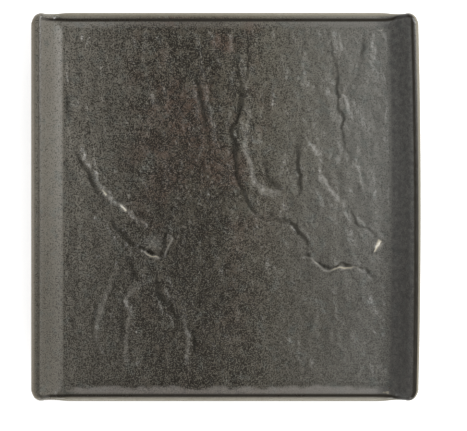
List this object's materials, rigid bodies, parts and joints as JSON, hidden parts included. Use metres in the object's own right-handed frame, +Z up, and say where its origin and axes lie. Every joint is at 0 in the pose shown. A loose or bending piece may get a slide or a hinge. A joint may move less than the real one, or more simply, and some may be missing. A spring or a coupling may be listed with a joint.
{
  "type": "square serving platter",
  "caption": "Square stoneware serving platter with raised ends, low rolled lips, a riven-slate relief in its well and a bare foot ring to stand on.",
  "frame": {"origin": "on the table, under the centre of the platter's overall outline", "axes": "+X across the raised ends, to the right in the picture; +Y across the low lips, up in the picture; +Z up out of the well"},
  "size_m": [0.3018, 0.303, 0.025],
  "materials": {
    "fired_clay": "matte, unglazed",
    "slate_glaze": "semi-gloss, speckled"
  },
  "bodies": {
    "root": {"stoneware_body": "fired_clay", "glaze_coat": "slate_glaze", "base_glaze": "slate_glaze"}
  },
  "joints": []
}
